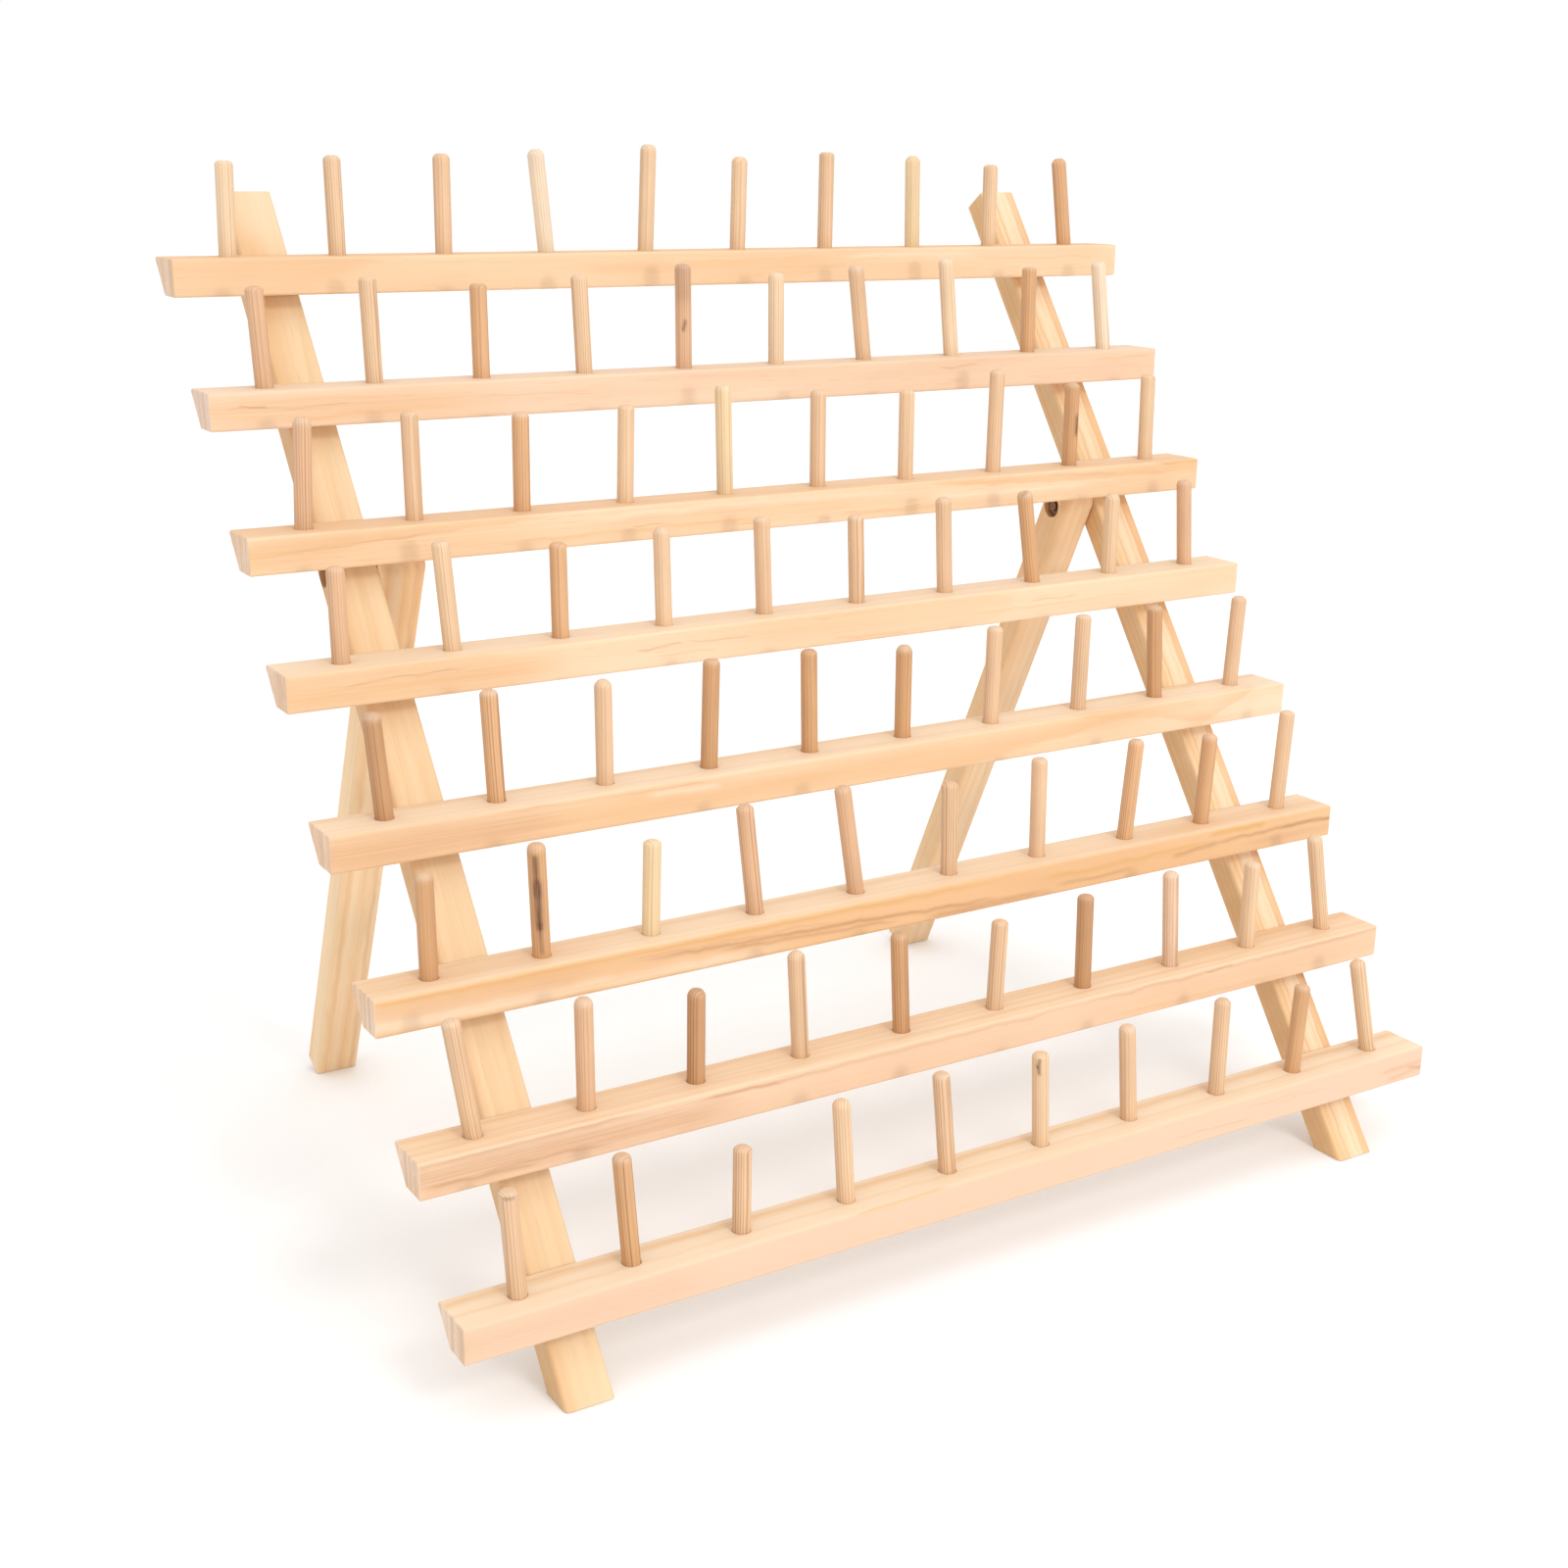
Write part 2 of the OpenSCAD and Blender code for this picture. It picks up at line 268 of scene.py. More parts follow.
def buildPineGrain():
    tree, given, made = newGroup(
        "pineGrain",
        {"Vector": "Place Pith Drift", "Float": "Ring Wander Seed Contrast", "Color": "Pale Warm Band"},
        {"Color": "Color", "Float": "Late Roughness Height"},
    )
    seedStep = put(tree, "CombineXYZ", {axis: given["Seed"] for axis in range(3)}).outputs[0]
    seeded = vec(tree, "MULTIPLY_ADD", seedStep, pineLook["seedStep"], given["Place"])
    wobble = vec(tree, "SUBTRACT", noise(tree, seeded, pineLook["wobble"], 1.0, "Color"), middleGrey)
    sway = vec(tree, "SCALE", wobble)
    feed(tree, sway.node.inputs["Scale"], times(tree, given["Wander"], 2.0))
    along = parts(tree, given["Place"])[0]
    drift = vec(tree, "SCALE", given["Drift"])
    feed(tree, drift.node.inputs["Scale"], along)
    fromPith = vec(tree, "SUBTRACT", vec(tree, "SUBTRACT", given["Place"], given["Pith"]), drift)
    across = vec(tree, "MULTIPLY", vec(tree, "ADD", fromPith, sway), (0, 1, 1))
    radius = vec(tree, "LENGTH", across)
    outward = calc(tree, "MULTIPLY_ADD", radius, pineLook["unevenScale"], given["Seed"])
    uneven = put(tree, "TexNoise", {"W": outward, "Scale": 1.0}, noise_dimensions="1D").outputs["Fac"]
    even = calc(tree, "DIVIDE", radius, given["Ring"])
    phase = calc(tree, "MULTIPLY_ADD", uneven, pineLook["unevenShare"], even)
    ring = calc(tree, "ADD", calc(tree, "FLOOR", phase), given["Seed"])
    late = darkRims(tree, phase, ring, pineLook)
    fibre = noise(tree, seeded, pineLook["fibre"], 2.0)
    cloud = ease(tree, noise(tree, seeded, pineLook["cloud"]), *pineLook["cloudEdge"])
    fleck = ease(tree, noise(tree, seeded, pineLook["fleck"], 0.0), *pineLook["fleckEdge"])
    body = blend(tree, cloud, given["Pale"], given["Warm"])
    banded = blend(tree, times(tree, late, given["Contrast"]), body, given["Band"])
    flecked = blend(tree, times(tree, fleck, pineLook["fleckShare"]), banded, given["Band"])
    vein = noise(tree, seeded, pineLook["vein"], 2.0)
    feed(tree, made["Color"], lifted(tree, flecked, fibre, vein, pineLook))
    feed(tree, made["Late"], late)
    feed(tree, made["Roughness"], calc(tree, "MULTIPLY_ADD", fibre, *pineLook["roughness"]))
    ridge = times(tree, late, pineLook["rimHeight"])
    feed(tree, made["Height"], calc(tree, "MULTIPLY_ADD", fibre, pineLook["fibreHeight"], ridge))
    return tree


# Sawn end: the same rings cut across, in a tint of their own, with open pores
endLook = {
    "pores": (0.6, 5.0, 5.0),
    "poreEdge": (0.45, 0.75),
    "poreShare": 0.15,
    "ringShare": 0.70,
    "shade": (0.66, 0.58, 0.54, 1),
}


def buildSawnEnd():
    tree, given, made = newGroup(
        "sawnEnd",
        {"Vector": "Place", "Color": "Long Cut Tint", "Float": "Late End"},
        {"Color": "Color", "Float": "Pores"},
    )
    pores = ease(tree, noise(tree, given["Place"], endLook["pores"], 2.0), *endLook["poreEdge"])
    cut = blend(tree, 1.0, given["Cut"], given["Tint"], "MULTIPLY")
    pitted = times(tree, pores, endLook["poreShare"])
    shadow = calc(tree, "MULTIPLY_ADD", given["Late"], endLook["ringShare"], pitted)
    darker = blend(tree, shadow, cut, blend(tree, 1.0, cut, endLook["shade"], "MULTIPLY"))
    feed(tree, made["Color"], blend(tree, given["End"], given["Long"], darker))
    feed(tree, made["Pores"], times(tree, pores, given["End"]))
    return tree


# Stroke: a bell across the wood round a middle line that runs from one place to another, bent and wandering a
# little, with a fade of its own above and below the line and at both ends
strokeLook = {
    "apart": 5.3,
    "bends": 0.07,
    "swing": 1.8,
    "endFade": 0.18,
    "ragged": (0.02, 1.6, 1.6),
    "raggedEdge": (0.25, 0.62, 0.5, 1.0),
}
strokeParts = "Along Across Start Stop First Last Bend Above Below"


def buildGrainStroke():
    tree, given, made = newGroup("grainStroke", {"Float": strokeParts}, {"Float": "Mask"})
    span = calc(tree, "SUBTRACT", given["Stop"], given["Start"])
    share = calc(tree, "DIVIDE", calc(tree, "SUBTRACT", given["Along"], given["Start"]), span)
    arch = times(tree, share, calc(tree, "SUBTRACT", 1.0, share), 4.0)
    fall = calc(tree, "SUBTRACT", given["Last"], given["First"])
    straight = calc(tree, "MULTIPLY_ADD", fall, share, given["First"])
    middle = calc(tree, "MULTIPLY_ADD", given["Bend"], arch, straight)
    bends = times(tree, given["Along"], strokeLook["bends"])
    drift = calc(tree, "MULTIPLY_ADD", given["First"], strokeLook["apart"], bends)
    swaying = put(tree, "TexNoise", {"W": drift, "Scale": 1.0, "Detail": 2.0}, noise_dimensions="1D")
    lowest = calc(tree, "SUBTRACT", middle, strokeLook["swing"] / 2)
    line = calc(tree, "MULTIPLY_ADD", swaying.outputs["Fac"], strokeLook["swing"], lowest)
    gap = calc(tree, "SUBTRACT", given["Across"], line)
    under = calc(tree, "GREATER_THAN", gap, 0.0)
    width = put(tree, "Mix", {0: under, 2: given["Above"], 3: given["Below"]}).outputs[0]
    reach = calc(tree, "DIVIDE", gap, width)
    bell = calc(tree, "EXPONENT", times(tree, reach, reach, -1.0))
    fade = strokeLook["endFade"]
    ends = within(tree, share, 0.0, fade, 1.0 - fade, 1.0)
    feed(tree, made["Mask"], times(tree, bell, ends))
    return tree


# Dowel: rings cross a thin stick as nearly flat layers, so they show as fine lines down its sides
dowelLook = {
    "wobble": (0.25, 0.25, 0.02),
    "sway": (0.9, 0.9, 0.0),
    "layers": 1.1,
    "uneven": (0.3, 0.0, 0.0),
    "unevenShare": 1.2,
    "rim": (0.40, 0.78, 0.86, 1.0),
    "rimShare": (0.7, 0.3),
    "lineShade": (0.60, 0.46, 0.36, 1),
    "fibre": (4.5, 4.5, 0.12),
    "cloud": (0.12, 0.12, 0.05),
    "patchLift": (0.20, 0.85),
    "fibreLift": 0.22,
    "raggedEdge": (0.25, 0.60, 0.55, 1.0),
    "roughness": (0.16, 0.46),
    "rimHeight": 0.4,
    "relief": (0.3, 0.0001),
    # dark colour of the marks in the wood, and of the one mark of painted shade
    "ink": "6B3F26",
    # pale colour of the peg tips: part dust, part painted highlight on the dome
    "dust": "FCE4CC",
}


def buildDowelGrain():
    tree, given, made = newGroup(
        "dowelGrain",
        {"Vector": "Place", "Color": "Tone Ink Dust", "Float": "Lines Mark Tip"},
        {"Color": "Color", "Float": "Roughness Height"},
    )
    wobble = vec(tree, "SUBTRACT", noise(tree, given["Place"], dowelLook["wobble"], 1.0, "Color"), middleGrey)
    swayed = vec(tree, "MULTIPLY_ADD", wobble, dowelLook["sway"], given["Place"])
    layer = parts(tree, swayed)[0]
    even = times(tree, layer, dowelLook["layers"])
    uneven = noise(tree, swayed, dowelLook["uneven"], 0.0)
    phase = calc(tree, "MULTIPLY_ADD", uneven, dowelLook["unevenShare"], even)
    late = darkRims(tree, phase, calc(tree, "FLOOR", phase), dowelLook)
    fibre = noise(tree, given["Place"], dowelLook["fibre"], 2.0)
    cloud = noise(tree, given["Place"], dowelLook["cloud"])
    darkLine = blend(tree, 1.0, given["Tone"], dowelLook["lineShade"], "MULTIPLY")
    lined = blend(tree, times(tree, late, given["Lines"]), given["Tone"], darkLine)
    # the tip turns paler towards its top: part dust, part painted highlight
    clean = blend(tree, given["Tip"], lifted(tree, lined, fibre, cloud, dowelLook), given["Dust"])
    ragged = times(tree, given["Mark"], ease(tree, fibre, *dowelLook["raggedEdge"]))
    feed(tree, made["Color"], blend(tree, ragged, clean, given["Ink"]))
    feed(tree, made["Roughness"], calc(tree, "MULTIPLY_ADD", fibre, *dowelLook["roughness"]))
    feed(tree, made["Height"], calc(tree, "MULTIPLY_ADD", late, dowelLook["rimHeight"], fibre))
    return tree


pineGrain = buildPineGrain()
sawnEnd = buildSawnEnd()
grainStroke = buildGrainStroke()
dowelGrain = buildDowelGrain()
strokeTones = {
    "pale": "FEE6C8", "blush": "F2CDB0", "orange": "EFBC86", "honey": "E6AE68", "olive": "E9BE86",
    "rose": "DDAB82", "brown": "BD8454", "umber": "96603A",
}


def layStrokes(tree, color, place, across, strokes):
    along = parts(tree, place)[0]
    ragged = ease(tree, noise(tree, place, strokeLook["ragged"], 2.0), *strokeLook["raggedEdge"])
    for *line, strength, tone in strokes:
        values = dict(zip(strokeParts.split(), (along, across, *line)))
        mask = useGroup(tree, grainStroke, values)["Mask"]
        share = times(tree, mask, strength, ragged)
        color = blend(tree, share, color, paint(strokeTones[tone]))
    return color


def growGrain(tree, place, seed, board, tints, share):
    values = {label: board[label.lower()] for label in ("Pith", "Drift", "Ring", "Wander", "Contrast")}
    for label in ("Pale", "Warm", "Band"):
        values[label] = paint(tints[label.lower()], share)
    return useGroup(tree, pineGrain, {"Place": place, "Seed": seed, **values})


def finishPine(tree, shader, place, grain, color, late, cut, tint):
    # long wood where cut is 0, sawn end where it is 1
    end = useGroup(tree, sawnEnd, {
        "Place": place, "Long": color, "Cut": grain["Color"], "Late": late, "End": cut, "Tint": tint,
    })
    height = calc(tree, "SUBTRACT", grain["Height"], end["Pores"])
    wireShader(tree, shader, end["Color"], grain["Roughness"], height, pineLook["relief"])


print("grain groups ready")


# Mesh helpers: grids of points as whole arrays, welded by place and turned outwards
weldGrid = 1e7


def gridFaces(rows, columns, start=0, wrap=False):
    across = columns if wrap else columns - 1
    row, column = np.meshgrid(np.arange(rows - 1), np.arange(across), indexing="ij")
    after = (column + 1) % columns
    here = row * columns
    below = here + columns
    corners = (here + column, here + after, below + after, below + column)
    return start + np.stack(corners, -1).reshape(-1, 4)


def fanFaces(ring, pole):
    return np.stack((ring, np.roll(ring, -1), np.full(len(ring), pole)), -1)


def cappedRings(rings, pole, start):
    # closed rings one after another, the last of them fanned to a pole
    rows, columns = rings.shape[:2]
    last = start + (rows - 1) * columns + np.arange(columns)
    points = np.concatenate((rings.reshape(-1, 3), pole[None]))
    return points, gridFaces(rows, columns, start, wrap=True), fanFaces(last, start + rows * columns)


def turnOutwards(mesh):
    work = bmesh.new()
    work.from_mesh(mesh)
    bmesh.ops.recalc_face_normals(work, faces=work.faces)
    work.to_mesh(mesh)
    work.free()
    mesh.polygons.foreach_set("use_smooth", np.ones(len(mesh.polygons), bool))
    mesh.update()


def weldedMesh(name, points, quads, fans):
    # points that share a place, to a tenth of a micron, become one
    points = np.concatenate(points)
    spots = np.round(points * weldGrid).astype(np.int64)
    _, first, same = np.unique(spots, axis=0, return_index=True, return_inverse=True)
    same = same.reshape(-1)
    faces = same[np.concatenate(quads)].tolist() + same[np.concatenate(fans)].tolist()
    mesh = bpy.data.meshes.new(name)
    mesh.from_pydata(points[first], [], faces)
    turnOutwards(mesh)
    return mesh


def meshPoints(mesh):
    points = np.empty(len(mesh.vertices) * 3, np.float32)
    mesh.vertices.foreach_get("co", points)
    return points.reshape(-1, 3).astype(float)


def keepAttribute(mesh, name, kind, values):
    field = {"FLOAT": "value", "FLOAT_VECTOR": "vector", "FLOAT_COLOR": "color"}[kind]
    mesh.attributes.new(name, kind, "POINT").data.foreach_set(field, np.asarray(values, np.float32).ravel())


def addPiece(name, mesh, material, body, node):
    piece = bpy.data.objects.new(name, mesh)
    mesh.materials.append(material)
    scene.collection.objects.link(piece)
    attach(piece, body)
    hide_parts(node)


# Peg axes, in millimetres: a peg stands in the rail's top and its tip is the node's point farthest from there
pegShape = {
    "count": 10,
    "pitch": 40.0,
    "slip": (1.0, -0.5, -1.0, -1.0, 0.0, 0.0, 0.0, 2.0, 0.5, 0.5),
    "radius": 3.0,
    "seat": 3.2,
    "around": 36,
    "steps": 30,
    "domeSteps": 9,
    "dome": (0.40, 0.80),
    "square": (1.3, 2.2),
    "blunt": (0.25, 0.60),
    "lobes": ((2, 0.006), (5, 0.004)),
    "lobeTurn": (0, 6),
    "layers": (10, 105),
    "ownWood": (-400, 400),
    "lines": (0.40, 0.75),
    # how strongly the tip turns pale, and from where: part dust, part painted highlight
    "dust": (0.05, 0.45),
    "dustAndHighlightStart": 0.6,
    "dustAndHighlightFade": 1.8,
    "seed": 11,
}


def pegAxes(row):
    points = meshPoints(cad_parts[f"peg_row_{row}"].data) / mm
    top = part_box(f"rail_{row}")[1].z / mm
    steps = np.arange(pegShape["count"]) - (pegShape["count"] - 1) / 2
    shift = steps * pegShape["pitch"] + pegShape["slip"]
    owner = np.abs(points[:, None, 0] - shift).argmin(1)
    bases = np.stack((shift, np.full(len(shift), points[:, 1].mean()), np.full(len(shift), top)), -1)
    reach = np.where(points[:, 2] > top, np.linalg.norm(points - bases[owner], axis=1), 0)
    tips = np.array([points[np.where(owner == peg, reach, 0).argmax()] for peg in range(len(shift))])
    return bases, tips


# Rails: a board section with eased corners, its back planed to the lean, drilled for the pegs
railShape = {
    "depth": 20.5,
    "height": 12.5,
    "lean": 36.0,
    "corner": 0.9,
    "endEase": 0.6,
    "arcSteps": 6,
    "endSteps": 4,
    "cellAlong": 16,
    "cellAcross": 8,
    "frontSteps": 14,
    "bottomSteps": 6,
    "backSteps": 8,
    "endMargin": 2.0,
    "holeGap": 0.08,
    "holeRim": 0.18,
    "holeDepth": 3.6,
    "rimSteps": 3,
    "cellRings": (1.0, 0.6, 0.3, 0.12, 0.04),
    "endRing": 0.85,
}


def boardCorners():
    # from the top's back edge forwards and round, with the outward angle of the side that follows each corner
    depth, height = railShape["depth"], railShape["height"]
    planed = height * math.tan(math.radians(railShape["lean"]))
    corners = np.array([(depth, 0), (0, 0), (0, -height), (depth - planed, -height)])
    angles = np.radians([90, 180, 270, 360 - railShape["lean"]])
    return corners, angles


def boardSection(inset, closed):
    # round each corner's arc centre at its radius less the inset, with even points on the sides between
    corners, angles = boardCorners()
    normals = np.stack((np.cos(angles), np.sin(angles)), -1)
    reach = (corners * normals).sum(1) - railShape["corner"]
    arcs = []
    for at in (1, 2, 3, 0):
        sides = np.stack((normals[at - 1], normals[at]))
        centre = np.linalg.solve(sides, (reach[at - 1], reach[at]))
        first, last = angles[at - 1], angles[at] + (2 * math.pi if at == 0 else 0)
        turn = np.linspace(first, last, railShape["arcSteps"] + 1)[:, None]
        arcs.append(centre + (railShape["corner"] - inset) * np.hstack((np.cos(turn), np.sin(turn))))
    counts = [railShape["frontSteps"], railShape["bottomSteps"], railShape["backSteps"]]
    counts += [railShape["cellAcross"]] if closed else []
    outline = []
    for at, arc in enumerate(arcs):
        outline.append(arc)
        if at < len(counts):
            share = np.linspace(0, 1, counts[at] + 1)[1:-1, None]
            outline.append(arc[-1] + (arcs[(at + 1) % 4][0] - arc[-1]) * share)
    return np.concatenate(outline)


def drilledTop(cells, bases, tips):
    # ring by ring from the cell's rectangle in to the hole's rim, over its edge and down its wall to a pole
    along, across = railShape["cellAlong"], railShape["cellAcross"]
    steps, rises = np.arange(along) / along, np.arange(across) / across
    one, zero = np.ones, np.zeros
    rect = np.concatenate((
        np.stack((one(across), rises), -1), np.stack((1 - steps, one(along)), -1),
        np.stack((zero(across), 1 - rises), -1), np.stack((steps, zero(along)), -1),
    ))
    angle = (np.arange(len(rect)) - across / 2) * 2 * math.pi / len(rect)
    section = boardSection(0, True)
    front, back = section[0, 0], section[-railShape["cellAcross"], 0]
    low = np.stack((cells[:-1], np.full(len(bases), front)), -1)[:, None]
    high = np.stack((cells[1:], np.full(len(bases), back)), -1)[:, None]
    edge = low + (high - low) * rect
    lean = (tips - bases)[:, 0] / (tips - bases)[:, 2]
    middle = railShape["depth"] / 2
    bore, rim = pegShape["radius"] + railShape["holeGap"], railShape["holeRim"]
    arc = np.linspace(0, math.pi / 2, railShape["rimSteps"] + 1)
    radii = np.concatenate((bore + rim * (1 - np.sin(arc)), [bore]))
    falls = np.concatenate((rim * (1 - np.cos(arc)), [railShape["holeDepth"]]))
    stretch = np.sqrt(1 + lean ** 2)[:, None]
    circles = []
    for radius, fall in zip(radii, falls):
        x = bases[:, :1] - fall * lean[:, None] + radius * stretch * np.cos(angle)
        y = middle + radius * np.sin(angle) + np.zeros_like(x)
        circles.append(np.stack((x, y, np.full_like(x, -fall)), -1))
    rims = circles[0][..., :2]
    flats = [np.concatenate((rims + (edge - rims) * share, np.zeros((*edge.shape[:2], 1))), -1)
             for share in railShape["cellRings"]]
    rings = np.stack(flats + circles, 1)
    depth = np.full(len(bases), falls[-1])
    poles = np.stack((bases[:, 0] - depth * lean, np.full(len(bases), middle), -depth), -1)
    return rings, poles


def railMesh(row):
    low, high = (np.array(corner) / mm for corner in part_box(f"rail_{row}"))
    bases, tips = pegAxes(row)
    margin = railShape["endMargin"]
    cells = np.concatenate(([low[0] + margin], (bases[1:, 0] + bases[:-1, 0]) / 2, [high[0] - margin]))
    stations = np.interp(np.arange(len(bases) * railShape["cellAlong"] + 1) / railShape["cellAlong"],
                         np.arange(len(cells)), cells)
    # front, bottom and back: the open section carried along the stations
    section = boardSection(0, False)
    strip = np.empty((len(stations), len(section), 3))
    strip[..., 0] = stations[:, None]
    strip[..., 1:] = section
    # top: one drilled cell for each peg
    blocks = list(zip(*drilledTop(cells, bases, tips)))
    # ends: the closed section drawn in over a quarter round, then a flat face
    easing = railShape["endEase"]
    turn = np.linspace(0, math.pi / 2, railShape["endSteps"] + 1)
    loops = [boardSection(inset, True) for inset in (0, *(easing * (1 - np.cos(turn))))]
    middle = loops[-1].mean(0)
    loops.append(middle + (loops[-1] - middle) * railShape["endRing"])
    reach = np.concatenate(([margin], easing * (1 - np.sin(turn)), [0]))
    for face, outward in ((low[0], -1), (high[0], 1)):
        loft = np.empty((len(loops), len(loops[0]), 3))
        loft[..., 0] = (face - outward * reach)[:, None]
        loft[..., 1:] = loops
        blocks.append((loft, np.array((face, *middle))))
    points = [strip.reshape(-1, 3)]
    quads = [gridFaces(len(stations), len(section))]
    fans = []
    count = len(points[0])
    for rings, pole in blocks:
        spots, sides, fan = cappedRings(rings, pole, count)
        points.append(spots)
        quads.append(sides)
        fans.append(fan)
        count += len(spots)
    corner = np.array((0, low[1], high[2]))
    mesh = weldedMesh(f"pine_rail_{row}", [(part + corner) * mm for part in points], quads, fans)
    local = meshPoints(mesh) / mm - corner
    toEnd = np.minimum(local[:, 0] - low[0], high[0] - local[:, 0])
    keepAttribute(mesh, "sawn", "FLOAT", np.clip(1 - toEnd / easing, 0, 1))
    return mesh, corner


# Each rail's own board: its wood, where its pith lay, how the rings drift along it, their width, sway and
# strength, the tone that lies over its front and its top, and how far behind the front its end is checked
railBoards = {
    1: {"wood": "straw", "pith": (0, 105, -4), "drift": (0, 0.020, 0.004), "ring": 4.2, "wander": 1.8,
        "contrast": 0.40, "front": ("orange", 0.20), "top": ("orange", 0.70), "check": 11.0},
    2: {"wood": "pink", "pith": (0, 90, -10), "drift": (0, -0.018, 0.006), "ring": 4.8, "wander": 2.0,
        "contrast": 0.35, "front": ("orange", 0.05), "top": ("pale", 0.4), "check": 6.0},
    3: {"wood": "straw", "pith": (0, 98, -2), "drift": (0, 0.016, -0.010), "ring": 4.4, "wander": 1.8,
        "contrast": 0.45, "front": ("orange", 0.0), "top": ("orange", 0.30), "check": 8.0},
    4: {"wood": "straw", "pith": (0, 100, -6), "drift": (0, 0.014, 0.008), "ring": 4.6, "wander": 1.8,
        "contrast": 0.38, "front": ("pale", 0.0), "top": ("pale", 0.6), "check": 4.0},
    5: {"wood": "straw", "pith": (0, 95, -4), "drift": (0, 0.030, 0.006), "ring": 5.2, "wander": 2.0,
        "contrast": 0.38, "front": ("orange", 0.08), "top": ("pale", 0.65), "check": 6.5},
    6: {"wood": "straw", "pith": (0, 100, -2), "drift": (0, -0.012, -0.028), "ring": 3.8, "wander": 1.5,
        "contrast": 0.48, "front": ("orange", 0.70), "top": ("pale", 0.5), "check": 5.0},
    7: {"wood": "straw", "pith": (0, 95, -10), "drift": (0, 0.010, -0.012), "ring": 4.6, "wander": 1.8,
        "contrast": 0.42, "front": ("blush", 0.55), "top": ("orange", 0.10), "check": 3.5},
    8: {"wood": "cream", "pith": (0, 115, -4), "drift": (0, 0.012, 0.003), "ring": 5.0, "wander": 1.6,
        "contrast": 0.42, "front": ("blush", 0.90), "top": ("pale", 0.65), "check": 9.0},
}
railWoods = {
    "straw": {"pale": "FDDDB9", "warm": "F9D2A9", "band": "E9B986"},
    "pink": {"pale": "FADABC", "warm": "F5CFAE", "band": "E5B78C"},
    "cream": {"pale": "FDE0BE", "warm": "F8D6B0", "band": "EBC08E"},
}
railLook = {
    "patches": (0.008, 0.06, 0.06),
    "patchEdge": (0.3, 0.6, 0.7, 1.0),
    "foreEdge": (-1.2, 0.3),
    "waver": (0.0, 0.25, 0.25),
    "waverShare": 1.6,
    "checkEdge": (0.15, 0.75, 0.8, 0.0),
    "endRings": 0.55,
    "endTint": (1.03, 1.04, 1.12, 1),
}
